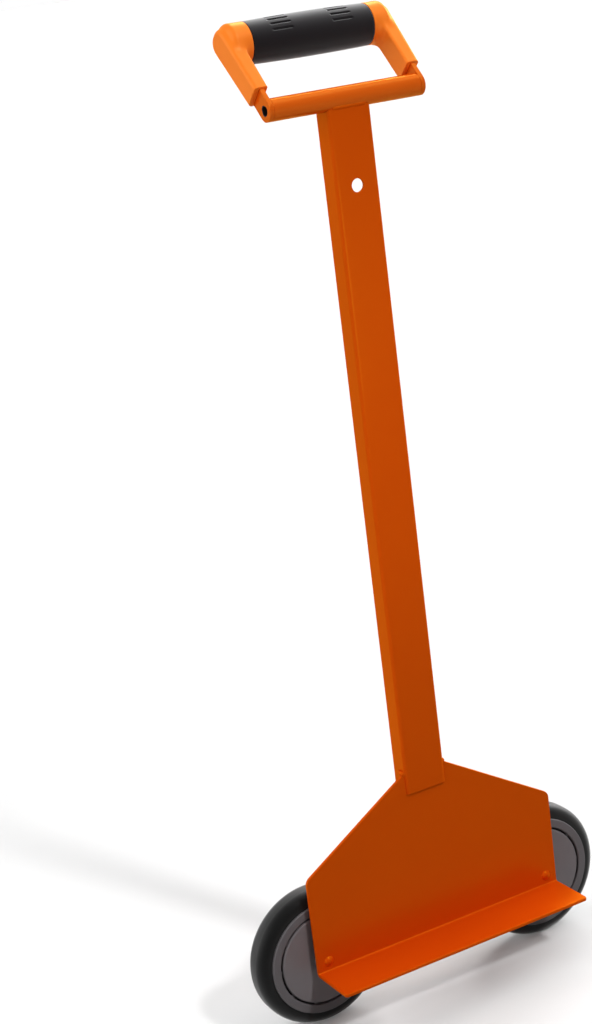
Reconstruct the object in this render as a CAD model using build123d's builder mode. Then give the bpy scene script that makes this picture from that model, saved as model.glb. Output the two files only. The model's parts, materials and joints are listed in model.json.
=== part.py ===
from build123d import *
import math
import os

os.makedirs("parts", exist_ok=True)

# Plasterboard trolley in millimetres: +Z is up, it rolls along X, and the board stands on its -Y side.
# The origin is on the floor, at the middle of the trolley's width and depth.

# Wheels
wheel_diameter = 125.0
tyre_width = 25.0
tyre_height = 12.0           # from the rim to the tread
tyre_corner_radius = 9.0
tyre_crown = 0.4             # how much the tread swells at the middle
rim_width = 28.8
rim_wall = 7.7
rim_edge_radius = 1.0
key_rib_width = 9.0          # ring on the rim that the tyre is moulded over
key_rib_height = 3.5
hub_diameter = 32.0
web_thickness = 6.0
rib_count = 10
rib_thickness = 3.0
rib_overlap = 0.5            # how far a rib runs into the hub and the rim
cover_thickness = 2.4
cover_gap = 1.8              # open ring between the rim and the hub cover
cover_edge_radius = 1.4
cover_dish = 1.2             # how far the cover's face sinks towards the hub
cover_bore_clearance = 0.5   # cover around the axle sleeve
cover_boss_wall = 1.3        # ring round the cover's bore that meets the collar or the washer
cover_boss_height = 1.6      # ring beyond the rim

# Axles and roller bearings
axle_diameter = 12.0
axle_shank_diameter = 7.0
axle_head_diameter = 9.0
axle_head_height = 2.4
collar_diameter = 20.0
collar_thickness = 2.0
sleeve_diameter = 15.0
hub_side_play = 0.5
roller_count = 10
roller_diameter = 3.0
roller_play = 0.05
cage_inset = 1.5             # from the hub's end to the cage's end
cage_end = 2.5               # cage beyond the rollers
cage_wall = 1.8
pocket_clearance = 0.15
washer_diameter = 24.0
washer_thickness = 2.0
thread_diameter = 10.0
thread_chamfer = 1.0
journal_setback = 0.5        # the nut clamps the sleeve, not the journal's shoulder
nut_across_flats = 17.0
nut_height = 8.0
nut_collar_height = 2.0
nut_collar_diameter = 14.5
nut_collar_wall = 0.7
nut_chamfer = 1.2
insert_recess = 0.3
thread_stand_out = 2.0       # thread that shows behind the nut

# Folded plate with the ledge that carries the board
plate_width = 254.0
plate_thickness = 3.0
bend_radius = 1.5
axle_inset = 11.5            # axle from the plate's side edge
ledge_drop = 9.0             # top of the ledge below the axles
ledge_depth = 46.0
ledge_corner_radius = 3.0
shoulder_height = 141.0
neck_height = 206.5
shoulder_radius = 8.0

# Post, a folded channel that is open at the back
post_width = 40.0
post_depth = 18.5
post_wall = 2.5
post_corner_radius = 3.2
foot_overlap = 19.0          # post's lower end, below the plate's top
hanging_hole_diameter = 11.0
hanging_hole_drop = 69.5     # hole below the bar axis

# Crossbar with its two welded tabs
bar_height = 782.0
bar_setback = 4.0            # bar axis behind the plate's front face
bar_diameter = 18.2
bar_wall = 2.0
bar_length = 136.0
tab_thickness = 4.0
tab_hole_diameter = 8.0
tang_width = 14.0
tang_length = 30.0
foot_weld_radius = 2.4
bar_weld_radius = 1.6
bar_weld_length = 31.5
weld_end_radius = 1.2
weld_overrun = 1.0           # how far a foot bead comes forward of the plate
weld_run_back = 4.5          # how far a foot bead runs on behind the plate

# D-handle on the tabs
handle_tilt = 45.0           # degrees back from upright
arm_start = 15.2             # arm's lower end, from the bar axis
arm_thickness = 11.5         # at the bar axis
arm_splay = 1.9              # degrees that the arm's outer face leans outwards
arm_low_width = 21.0
arm_high_width = 22.6
arm_crest = 13.0             # arm's top beyond the grip axis
arm_crest_flat = 2.6         # straight stretch across the arm's top
arm_outer_radius = 3.5
arm_inner_radius = 2.2
boss_diameter = 34.4
head_thickness = 8.25        # round end of the boss, on the arm's inner side
head_edge_radius = 4.0
boss_step = 0.3              # boss inside its round end
boss_length = 7.75
boss_blend_radius = 4.0
neck_blend_radius = 12.0     # where the arm widens into the boss
grip_reach = 70.6            # grip axis from the bar axis
grip_diameter = 35.8
grip_swell = 0.8             # how much the grip's radius grows towards its middle
grip_edge_radius = 1.2
core_diameter = 24.0
spigot_diameter = 20.0
spigot_length = 26.0

# Clearances
fit_clearance = 0.1          # pieces pushed together
bore_clearance = 0.05        # sleeve on axle, nut on thread

# Worked out from the sizes above
tilt = math.radians(handle_tilt)
wheel_radius = wheel_diameter / 2
axle_spacing = plate_width - 2 * axle_inset
ledge_height = wheel_radius - ledge_drop
foot_height = neck_height - foot_overlap
hanging_hole_height = bar_height - hanging_hole_drop
rear_reach = bar_setback + grip_reach * math.sin(tilt) + grip_diameter / 2
plate_front = (ledge_depth - rear_reach) / 2
plate_back = plate_front + plate_thickness
post_front = plate_front - post_wall
bar_y = plate_front + bar_setback
bar_radius = bar_diameter / 2
collar_face = plate_back + collar_thickness
sleeve_length = rim_width + 2 * (cover_boss_height + hub_side_play)
wheel_middle = collar_face + sleeve_length / 2
tab_inner = bar_length / 2
arm_inner = tab_inner + (tab_thickness - arm_thickness) / 2
arm_top = grip_reach + arm_crest
arm_slope = math.tan(math.radians(arm_splay))
arm_low_outer = arm_inner + arm_thickness + arm_start * arm_slope
arm_high_outer = arm_inner + arm_thickness + arm_top * arm_slope
grip_length = 2 * (arm_inner - boss_length)
grip_end_radius = grip_diameter / 2 - grip_swell
hub_bore_radius = sleeve_diameter / 2 + roller_diameter + 2 * roller_play
roller_pitch = sleeve_diameter / 2 + roller_play + roller_diameter / 2
rim_radius = wheel_radius - tyre_height
rim_inner_radius = rim_radius - rim_wall
hub_radius = hub_diameter / 2
cover_radius = rim_inner_radius - cover_gap
cover_back = rim_width / 2 - cover_thickness
cover_bore_radius = sleeve_diameter / 2 + cover_bore_clearance
cover_boss_radius = cover_bore_radius + cover_boss_wall
cover_face = rim_width / 2 + cover_boss_height
cage_length = 2 * (cover_back - cage_inset)
roller_length = cage_length - 2 * cage_end
axle_radius = axle_diameter / 2
thread_radius = thread_diameter / 2
washer_face = collar_face + sleeve_length
nut_face = washer_face + washer_thickness
collar_recess_radius = nut_collar_diameter / 2 - nut_collar_wall
front_seam = bar_height - math.sqrt(bar_radius**2 - (bar_y - post_front) ** 2)


def finish(part, name):
    part.label = name
    export_step(part, f"parts/{name}.step")


up_arm = (0, math.sin(tilt), math.cos(tilt))
behind_arm = (0, math.cos(tilt), -math.sin(tilt))


# Side-on handle plane: x runs up the arm from the bar axis, z runs along +X
def handle_plane(x):
    return Plane(origin=(x, bar_y, bar_height), x_dir=up_arm, z_dir=(1, 0, 0))


# Planes through both arms: x runs up the arm from the bar's or the grip's axis, y runs along +X
arm_section = Plane(origin=(0, bar_y, bar_height), x_dir=up_arm, z_dir=behind_arm)
grip_axis_point = arm_section.from_local_coords((grip_reach, 0, 0))
grip_section = Plane(origin=grip_axis_point, x_dir=up_arm, z_dir=behind_arm)


# Plane through an axle: x is radial, y runs back along the axle from the given y
def axle_section(x, y):
    return Plane(origin=(x, y, wheel_radius), x_dir=(1, 0, 0), z_dir=(0, 0, 1))


# Plane square to an axle, looking back along it
def axle_plane(x, y):
    return Plane(origin=(x, y, wheel_radius), x_dir=(1, 0, 0), z_dir=(0, 1, 0))


def axle_axis(x):
    return Axis((x, 0, wheel_radius), (0, 1, 0))


# Face plate: folded section, then cut to its house-shaped outline
with BuildPart() as face_plate:
    with BuildSketch(Plane.YZ.offset(-plate_width / 2)) as fold:
        ledge_tip = plate_front - ledge_depth
        ledge_under = ledge_height - plate_thickness
        with BuildLine():
            Polyline(
                (plate_back, neck_height),
                (plate_back, ledge_under),
                (ledge_tip, ledge_under),
                (ledge_tip, ledge_height),
                (plate_front, ledge_height),
                (plate_front, neck_height),
                close=True,
            )
        make_face()
        outer_bend = fold.vertices().sort_by_distance((plate_back, ledge_under))[0]
        fillet(outer_bend, bend_radius + plate_thickness)
        inner_bend = fold.vertices().sort_by_distance((plate_front, ledge_height))[0]
        fillet(inner_bend, bend_radius)
    extrude(amount=plate_width)
    with BuildSketch(Plane.XZ.offset(-plate_back)) as outline:
        with BuildLine():
            Polyline(
                (-plate_width / 2, ledge_under),
                (-plate_width / 2, shoulder_height),
                (-post_width / 2, neck_height),
                (post_width / 2, neck_height),
                (plate_width / 2, shoulder_height),
                (plate_width / 2, ledge_under),
                close=True,
            )
        make_face()
        shoulders = outline.vertices().group_by(Axis.Y)[1]
        fillet(shoulders, shoulder_radius)
    extrude(amount=plate_thickness + ledge_depth, mode=Mode.INTERSECT)
    tip_corners = face_plate.edges().filter_by(Axis.Z).group_by(Axis.Y)[0]
    fillet(tip_corners, ledge_corner_radius)
    with BuildSketch(Plane.XZ.offset(-plate_back)):
        with Locations((-axle_spacing / 2, wheel_radius), (axle_spacing / 2, wheel_radius)):
            Circle(axle_shank_diameter / 2 + fit_clearance)
    extrude(amount=plate_thickness, mode=Mode.SUBTRACT)
finish(face_plate.part, "face_plate")

# Crossbar: round tube across the top of the post
with BuildPart() as crossbar:
    with BuildSketch(Plane.YZ.offset(-bar_length / 2)):
        with Locations((bar_y, bar_height)):
            Circle(bar_radius)
            Circle(bar_radius - bar_wall, mode=Mode.SUBTRACT)
    extrude(amount=bar_length)
finish(crossbar.part, "crossbar")

# Post: channel section, its sides slotted over the plate and its top coped to the bar
with BuildPart() as post:
    with BuildSketch(Plane.XY.offset(foot_height)) as channel:
        with Locations((0, post_front + post_depth / 2)):
            Rectangle(post_width, post_depth)
        fillet(channel.vertices().group_by(Axis.Y)[0], post_corner_radius)
        with BuildSketch(mode=Mode.PRIVATE) as hollow:
            with Locations((0, post_front + post_wall + post_depth / 2)):
                Rectangle(post_width - 2 * post_wall, post_depth)
            fillet(hollow.vertices().group_by(Axis.Y)[0], post_corner_radius - post_wall)
        add(hollow.sketch, mode=Mode.SUBTRACT)
    extrude(amount=bar_height - bar_radius / 2 - foot_height)
    with BuildSketch(Plane.XY.offset(foot_height)):
        with Locations((0, plate_front + plate_thickness / 2)):
            Rectangle(post_width, plate_thickness)
    extrude(amount=neck_height - foot_height, mode=Mode.SUBTRACT)
    with BuildSketch(Plane.YZ.offset(-post_width / 2)):
        with Locations((bar_y, bar_height)):
            Circle(bar_radius + fit_clearance)
    extrude(amount=post_width, mode=Mode.SUBTRACT)
    with BuildSketch(Plane.XZ.offset(-plate_front)):
        with Locations((0, hanging_hole_height)):
            Circle(hanging_hole_diameter / 2)
    extrude(amount=post_wall, mode=Mode.SUBTRACT)
finish(post.part, "post")

# Right tab: flat steel, round about the bar axis, with a narrower tang inside the handle arm
with BuildPart() as right_tab:
    with BuildSketch(handle_plane(tab_inner)):
        Circle(bar_radius)
        with Locations((arm_start / 2, 0)):
            Rectangle(arm_start, bar_diameter)
        with Locations((arm_start + tang_length / 2, 0)):
            Rectangle(tang_length, tang_width)
        Circle(tab_hole_diameter / 2, mode=Mode.SUBTRACT)
    extrude(amount=tab_thickness)
finish(right_tab.part, "right_tab")

with BuildPart() as left_tab:
    mirror(right_tab.part, about=Plane.YZ)
finish(left_tab.part, "left_tab")

# Right arm: tapered blade with a rounded top, thicker towards the grip because its outer face leans
with BuildPart() as right_arm:
    with BuildSketch(handle_plane(arm_inner)) as blade:
        with BuildLine():
            Polyline(
                (arm_start, -arm_low_width / 2),
                (grip_reach, -arm_high_width / 2),
                (arm_top, -arm_high_width / 2),
                (arm_top, arm_high_width / 2),
                (grip_reach, arm_high_width / 2),
                (arm_start, arm_low_width / 2),
                close=True,
            )
        make_face()
        fillet(blade.vertices().group_by(Axis.X)[-1], (arm_high_width - arm_crest_flat) / 2)
    extrude(amount=arm_high_outer - arm_inner)
    with BuildSketch(arm_section):
        with BuildLine():
            Polyline(
                (arm_start, arm_inner),
                (arm_top, arm_inner),
                (arm_top, arm_high_outer),
                (arm_start, arm_low_outer),
                close=True,
            )
        make_face()
    extrude(amount=arm_low_width + arm_high_width, both=True, mode=Mode.INTERSECT)
    outer_edges = right_arm.faces().sort_by(Axis.X)[-1].edges().sort_by(Axis.Z)
    fillet(outer_edges[1:], arm_outer_radius)

# Right elbow: the arm on a round boss that turns inwards to the grip
with BuildPart() as right_elbow:
    with BuildSketch(handle_plane(arm_inner)) as head:
        with BuildLine():
            Polyline(
                (arm_start, -arm_low_width / 2),
                (grip_reach, -arm_high_width / 2),
                (grip_reach, arm_high_width / 2),
                (arm_start, arm_low_width / 2),
                close=True,
            )
        make_face()
        with Locations((grip_reach, 0)):
            Circle(boss_diameter / 2)
        fillet(head.vertices().group_by(Axis.X)[1], neck_blend_radius)
    extrude(amount=head_thickness)
    head_edges = right_elbow.faces().sort_by(Axis.X)[-1].edges().sort_by(Axis.Z)
    fillet(head_edges[1:], head_edge_radius)
    add(right_arm.part)
    inner_edges = right_elbow.faces().sort_by(Axis.X)[0].edges().sort_by(Axis.Z)
    fillet(inner_edges[1:], arm_inner_radius)
    with BuildSketch(handle_plane(grip_length / 2)):
        with Locations((grip_reach, 0)):
            Circle(boss_diameter / 2 - boss_step)
    extrude(amount=boss_length + head_thickness / 2)
    round_edges = right_elbow.edges().filter_by(GeomType.CIRCLE)
    root_arcs = round_edges.filter_by_position(Axis.X, arm_inner - boss_step, arm_inner + boss_step)
    fillet(root_arcs.sort_by(SortBy.LENGTH)[-1], boss_blend_radius)
    with BuildSketch(handle_plane(grip_length / 2 - spigot_length)):
        with Locations((grip_reach, 0)):
            Circle(spigot_diameter / 2)
    extrude(amount=spigot_length)
    with BuildSketch(handle_plane(tab_inner - fit_clearance)):
        with Locations((arm_start + (tang_length + fit_clearance) / 2, 0)):
            Rectangle(tang_length + fit_clearance, tang_width + 2 * fit_clearance)
    extrude(amount=tab_thickness + 2 * fit_clearance, mode=Mode.SUBTRACT)
finish(right_elbow.part, "right_elbow")

with BuildPart() as left_elbow:
    mirror(right_elbow.part, about=Plane.YZ)
finish(left_elbow.part, "left_elbow")

# Grip core: tube between the elbows, over their spigots
with BuildPart() as grip_core:
    with BuildSketch(handle_plane(-grip_length / 2)):
        with Locations((grip_reach, 0)):
            Circle(core_diameter / 2)
            Circle(spigot_diameter / 2 + fit_clearance, mode=Mode.SUBTRACT)
    extrude(amount=grip_length)
finish(grip_core.part, "grip_core")

# Grip sleeve: slightly barrelled cover over the core
with BuildPart() as grip_sleeve:
    with BuildSketch(grip_section) as barrel:
        with BuildLine():
            Polyline(
                (grip_end_radius, grip_length / 2),
                (core_diameter / 2 + fit_clearance, grip_length / 2),
                (core_diameter / 2 + fit_clearance, -grip_length / 2),
                (grip_end_radius, -grip_length / 2),
            )
            ThreePointArc(
                (grip_end_radius, -grip_length / 2),
                (grip_diameter / 2, 0),
                (grip_end_radius, grip_length / 2),
            )
        make_face()
        fillet(barrel.vertices().group_by(Axis.X)[-1], grip_edge_radius)
    revolve(axis=Axis(grip_section.origin, (1, 0, 0)))
finish(grip_sleeve.part, "grip_sleeve")

# Foot welds: a bead at each side wall's foot and one inside the channel
inner_bead = post_width / 2 - post_wall - foot_weld_radius
bead_front = plate_front - weld_overrun
bead_back = plate_back + weld_run_back
foot_seams = (
    ((-post_width / 2, bead_front, neck_height), (-post_width / 2, bead_back, neck_height)),
    ((post_width / 2, bead_front, neck_height), (post_width / 2, bead_back, neck_height)),
    ((-inner_bead, plate_front, neck_height), (inner_bead, plate_front, neck_height)),
)
with BuildPart() as foot_welds:
    for start, end in foot_seams:
        run = Vector(end) - Vector(start)
        with BuildSketch(Plane(origin=start, z_dir=run)):
            Circle(foot_weld_radius)
        extrude(amount=run.length)
    fillet(foot_welds.edges().filter_by(GeomType.CIRCLE), weld_end_radius)
    add(face_plate.part, mode=Mode.SUBTRACT)
    add(post.part, mode=Mode.SUBTRACT)
finish(foot_welds.part, "foot_welds")

# Crossbar weld: one bead across the post's front, under the bar
with BuildPart() as crossbar_weld:
    with BuildSketch(Plane.YZ.offset(-bar_weld_length / 2)):
        with Locations((post_front, front_seam)):
            Circle(bar_weld_radius)
    extrude(amount=bar_weld_length)
    fillet(crossbar_weld.edges().filter_by(GeomType.CIRCLE), weld_end_radius)
    add(crossbar.part, mode=Mode.SUBTRACT)
    add(post.part, mode=Mode.SUBTRACT)
finish(crossbar_weld.part, "crossbar_weld")

# Stub axle: riveted dome, shank through the plate, collar, journal and thread
head_radius = axle_head_diameter / 2
dome_radius = (head_radius**2 + axle_head_height**2) / (2 * axle_head_height)
dome_angle = math.asin(head_radius / dome_radius) / 2
dome_middle = (
    dome_radius * math.sin(dome_angle),
    dome_radius * (1 - math.cos(dome_angle)) - axle_head_height,
)
collar_end = plate_thickness + collar_thickness
journal_end = collar_end + sleeve_length - journal_setback
thread_end = nut_face + nut_height + nut_collar_height + thread_stand_out - plate_front

for side, x in (("left", -axle_spacing / 2), ("right", axle_spacing / 2)):
    with BuildPart() as stub_axle:
        with BuildSketch(axle_section(x, plate_front)):
            with BuildLine():
                ThreePointArc((0, -axle_head_height), dome_middle, (head_radius, 0))
                Polyline(
                    (head_radius, 0),
                    (axle_shank_diameter / 2, 0),
                    (axle_shank_diameter / 2, plate_thickness),
                    (collar_diameter / 2, plate_thickness),
                    (collar_diameter / 2, collar_end),
                    (axle_radius, collar_end),
                    (axle_radius, journal_end),
                    (thread_radius, journal_end),
                    (thread_radius, thread_end - thread_chamfer),
                    (thread_radius - thread_chamfer, thread_end),
                    (0, thread_end),
                    (0, -axle_head_height),
                )
            make_face()
        revolve(axis=axle_axis(x))
    finish(stub_axle.part, f"{side}_stub_axle")

    # Hardened sleeve that the rollers run on
    with BuildPart() as axle_sleeve:
        with BuildSketch(axle_plane(x, collar_face)):
            Circle(sleeve_diameter / 2)
            Circle(axle_radius + bore_clearance, mode=Mode.SUBTRACT)
        extrude(amount=sleeve_length)
    finish(axle_sleeve.part, f"{side}_axle_sleeve")

    # Wheel core: hub, web, rim with its key rib, and radial ribs on both sides of the web
    with BuildPart() as wheel_core:
        with BuildSketch(axle_section(x, wheel_middle)) as half_section:
            with BuildLine():
                Polyline(
                    (hub_bore_radius, -cover_back),
                    (hub_radius, -cover_back),
                    (hub_radius, -web_thickness / 2),
                    (rim_inner_radius, -web_thickness / 2),
                    (rim_inner_radius, -rim_width / 2),
                    (rim_radius, -rim_width / 2),
                    (rim_radius, -key_rib_width / 2),
                    (rim_radius + key_rib_height, -key_rib_width / 2),
                    (rim_radius + key_rib_height, key_rib_width / 2),
                    (rim_radius, key_rib_width / 2),
                    (rim_radius, rim_width / 2),
                    (rim_inner_radius, rim_width / 2),
                    (rim_inner_radius, web_thickness / 2),
                    (hub_radius, web_thickness / 2),
                    (hub_radius, cover_back),
                    (hub_bore_radius, cover_back),
                    close=True,
                )
            make_face()
            rim_corners = half_section.vertices().filter_by_position(Axis.X, rim_inner_radius, rim_radius)
            outer_corners = rim_corners.group_by(Axis.Y)
            fillet(outer_corners[0] + outer_corners[-1], rim_edge_radius)
        revolve(axis=axle_axis(x))
        with BuildSketch(axle_plane(x, wheel_middle - cover_back)):
            with PolarLocations((hub_radius + rim_inner_radius) / 2, rib_count):
                Rectangle(rim_inner_radius - hub_radius + 2 * rib_overlap, rib_thickness)
        extrude(amount=2 * cover_back)
    finish(wheel_core.part, f"{side}_wheel_core")

    # Tyre: rounded rubber section moulded over the rim's key rib
    with BuildPart() as tyre:
        bore = rim_radius + bore_clearance
        key = key_rib_width / 2 + bore_clearance
        tread = wheel_radius - tyre_crown
        wall = tyre_width / 2
        corner = (tread - tyre_corner_radius, wall - tyre_corner_radius)
        with BuildSketch(axle_section(x, wheel_middle)):
            with BuildLine():
                Polyline(
                    (corner[0], wall),
                    (bore, wall),
                    (bore, key),
                    (bore + key_rib_height, key),
                    (bore + key_rib_height, -key),
                    (bore, -key),
                    (bore, -wall),
                    (corner[0], -wall),
                )
                CenterArc((corner[0], -corner[1]), tyre_corner_radius, -90, 90)
                ThreePointArc((tread, -corner[1]), (wheel_radius, 0), (tread, corner[1]))
                CenterArc(corner, tyre_corner_radius, 0, 90)
            make_face()
        revolve(axis=axle_axis(x))
    finish(tyre.part, f"{side}_tyre")

    # Hub covers: dished discs on the ribs and the hub, with a rounded rim and a ring round the bore
    with BuildPart() as front_cover:
        with BuildSketch(axle_section(x, wheel_middle)) as ring:
            with BuildLine():
                Polyline(
                    (cover_bore_radius, -cover_back),
                    (cover_radius, -cover_back),
                    (cover_radius, -rim_width / 2),
                    (cover_boss_radius, cover_dish - rim_width / 2),
                    (cover_boss_radius, -cover_face),
                    (cover_bore_radius, -cover_face),
                    close=True,
                )
            make_face()
            outer_edge = ring.vertices().sort_by_distance((cover_radius, -rim_width / 2))[0]
            fillet(outer_edge, cover_edge_radius)
        revolve(axis=axle_axis(x))
    finish(front_cover.part, f"{side}_front_cover")

    with BuildPart() as rear_cover:
        mirror(front_cover.part, about=Plane.XZ.offset(-wheel_middle))
    finish(rear_cover.part, f"{side}_rear_cover")

    # Roller cage: slotted tube between the sleeve and the hub bore
    with BuildPart() as roller_cage:
        with BuildSketch(axle_plane(x, wheel_middle - cage_length / 2)):
            Circle(roller_pitch + cage_wall / 2)
            Circle(roller_pitch - cage_wall / 2, mode=Mode.SUBTRACT)
        extrude(amount=cage_length)
        with BuildSketch(axle_plane(x, wheel_middle - roller_length / 2 - pocket_clearance)):
            with PolarLocations(roller_pitch, roller_count):
                Rectangle(2 * cage_wall, roller_diameter + 2 * pocket_clearance)
        extrude(amount=roller_length + 2 * pocket_clearance, mode=Mode.SUBTRACT)
    finish(roller_cage.part, f"{side}_roller_cage")

    with BuildPart() as rollers:
        with BuildSketch(axle_plane(x, wheel_middle - roller_length / 2)):
            with PolarLocations(roller_pitch, roller_count):
                Circle(roller_diameter / 2)
        extrude(amount=roller_length)
    finish(rollers.part, f"{side}_rollers")

# Rear washers, one on each axle
axle_points = ((-axle_spacing / 2, 0), (axle_spacing / 2, 0))
with BuildPart() as rear_washers:
    with BuildSketch(axle_plane(0, washer_face)):
        with Locations(*axle_points):
            Circle(washer_diameter / 2)
            Circle(thread_radius + fit_clearance, mode=Mode.SUBTRACT)
    extrude(amount=washer_thickness)
finish(rear_washers.part, "rear_washers")

# Lock nuts: chamfered hexagon with a round collar that holds a nylon ring
with BuildPart() as lock_nuts:
    with BuildSketch(axle_plane(0, nut_face)):
        with Locations(*axle_points):
            Circle(nut_across_flats / 2 / math.cos(math.pi / 6))
    extrude(amount=nut_height)
    chamfer(lock_nuts.edges().filter_by(GeomType.CIRCLE), nut_chamfer, nut_chamfer / 2)
    with BuildSketch(axle_plane(0, nut_face)):
        with Locations(*axle_points):
            RegularPolygon(nut_across_flats / 2, 6, major_radius=False)
    extrude(amount=nut_height, mode=Mode.INTERSECT)
    with BuildSketch(axle_plane(0, nut_face + nut_height)):
        with Locations(*axle_points):
            Circle(nut_collar_diameter / 2)
    extrude(amount=nut_collar_height)
    with BuildSketch(axle_plane(0, nut_face + nut_height)):
        with Locations(*axle_points):
            Circle(collar_recess_radius)
    extrude(amount=nut_collar_height, mode=Mode.SUBTRACT)
    with BuildSketch(axle_plane(0, nut_face)):
        with Locations(*axle_points):
            Circle(thread_radius + bore_clearance)
    extrude(amount=nut_height, mode=Mode.SUBTRACT)
finish(lock_nuts.part, "lock_nuts")

with BuildPart() as nut_inserts:
    with BuildSketch(axle_plane(0, nut_face + nut_height)):
        with Locations(*axle_points):
            Circle(collar_recess_radius - bore_clearance)
            Circle(thread_radius + bore_clearance, mode=Mode.SUBTRACT)
    extrude(amount=nut_collar_height - insert_recess)
finish(nut_inserts.part, "nut_inserts")
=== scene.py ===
import json
import math

import bmesh
import bpy
import numpy as np
from mathutils import Matrix, Vector


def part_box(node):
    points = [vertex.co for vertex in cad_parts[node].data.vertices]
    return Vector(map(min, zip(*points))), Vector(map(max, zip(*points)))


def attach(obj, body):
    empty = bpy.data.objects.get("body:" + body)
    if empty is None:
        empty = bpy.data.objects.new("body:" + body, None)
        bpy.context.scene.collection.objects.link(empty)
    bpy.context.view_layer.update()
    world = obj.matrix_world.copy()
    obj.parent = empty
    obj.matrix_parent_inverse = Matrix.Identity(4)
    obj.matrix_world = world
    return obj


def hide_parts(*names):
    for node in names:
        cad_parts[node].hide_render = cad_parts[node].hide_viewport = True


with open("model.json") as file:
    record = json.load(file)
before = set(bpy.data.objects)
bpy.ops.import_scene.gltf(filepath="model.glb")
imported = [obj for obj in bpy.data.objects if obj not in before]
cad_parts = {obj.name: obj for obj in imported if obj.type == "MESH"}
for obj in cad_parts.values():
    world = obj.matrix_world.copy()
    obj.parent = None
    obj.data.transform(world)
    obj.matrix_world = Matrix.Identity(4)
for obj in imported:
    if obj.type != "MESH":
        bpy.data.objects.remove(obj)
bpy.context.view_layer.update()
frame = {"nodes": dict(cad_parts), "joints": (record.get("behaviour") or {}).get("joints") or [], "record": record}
mm = 0.001                                  # sizes below are in millimetres, Blender works in metres
tiny = 1e-9                                 # least length that anything is divided by
xAxis = np.array((1.0, 0, 0))
print("frame loaded with", len(frame["nodes"]), "CAD nodes")


# sRGB hex to linear: each channel undoes the display curve
def toLinear(code):
    channel = np.array([int(code[i:i + 2], 16) for i in (1, 3, 5)]) / 255
    linear = np.where(channel <= 0.04045, channel / 12.92, ((channel + 0.055) / 1.055) ** 2.4)
    return (*linear.tolist(), 1.0)


# one node: settings are its properties, inputs are its sockets, by name or by number, and each is given a
# plain value or another node's output
def addNode(tree, kind, inputs=None, **settings):
    node = tree.nodes.new(kind)
    for name, value in settings.items():
        setattr(node, name, value)
    for name, value in (inputs or {}).items():
        if isinstance(value, bpy.types.NodeSocket):
            tree.links.new(value, node.inputs[name])
        else:
            node.inputs[name].default_value = value
    return node


surface = dict(cloudDetail=3.0, grainDetail=2.0, reliefStrength=1.0, sheenRoughness=0.4)


# a solid finish: soft clouds between two tones, clouded gloss, and a fine relief from the way it was made.
# A look with a shine gets its gloss as a tinted layer, which gains on the body colour as the surface turns
# away from the eye, as a clear coat of refractive index bend does, and stops at mostShine
def makeFinish(name, look):
    material = bpy.data.materials.new(name)
    material.use_nodes = True
    tree = material.node_tree
    tree.nodes.clear()
    place = addNode(tree, "ShaderNodeTexCoord").outputs["Object"]
    clouds = addNode(tree, "ShaderNodeTexNoise", {
        "Vector": place, "Scale": 1 / (look["cloud"] * mm), "Detail": surface["cloudDetail"]}).outputs[0]
    tone = addNode(tree, "ShaderNodeMix", {
        0: clouds, 6: toLinear(look["dark"]), 7: toLinear(look["light"])}, data_type="RGBA").outputs[2]
    gloss = addNode(tree, "ShaderNodeMapRange", {
        "Value": clouds, "To Min": look["roughness"][0], "To Max": look["roughness"][1]}).outputs[0]
    relief = addNode(tree, "ShaderNodeTexNoise", {
        "Vector": place, "Scale": 1 / (look["grain"] * mm), "Detail": surface["grainDetail"]}).outputs[0]
    bump = addNode(tree, "ShaderNodeBump", {
        "Height": relief, "Strength": surface["reliefStrength"], "Distance": look["depth"] * mm}).outputs[0]
    shader = addNode(tree, "ShaderNodeBsdfPrincipled", {
        "Base Color": tone, "Roughness": gloss, "Normal": bump,
        "Metallic": look.get("metallic", 0.0), "Specular IOR Level": look.get("specular", 0.5),
        "Specular Tint": toLinear(look.get("glint", "#FFFFFF")),
        "Sheen Weight": look.get("sheen", 0.0), "Sheen Roughness": surface["sheenRoughness"]}).outputs[0]
    if "shine" in look:
        shine = addNode(tree, "ShaderNodeBsdfGlossy", {
            "Color": toLinear(look["shine"]), "Roughness": gloss, "Normal": bump}).outputs[0]
        glance = addNode(tree, "ShaderNodeFresnel", {"IOR": look["bend"], "Normal": bump}).outputs[0]
        share = addNode(tree, "ShaderNodeMath", {
            0: glance, 1: look["mostShine"]}, operation="MINIMUM").outputs[0]
        shader = addNode(tree, "ShaderNodeMixShader", {0: share, 1: shader, 2: shine}).outputs[0]
    addNode(tree, "ShaderNodeOutputMaterial", {"Surface": shader})
    return material


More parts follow.
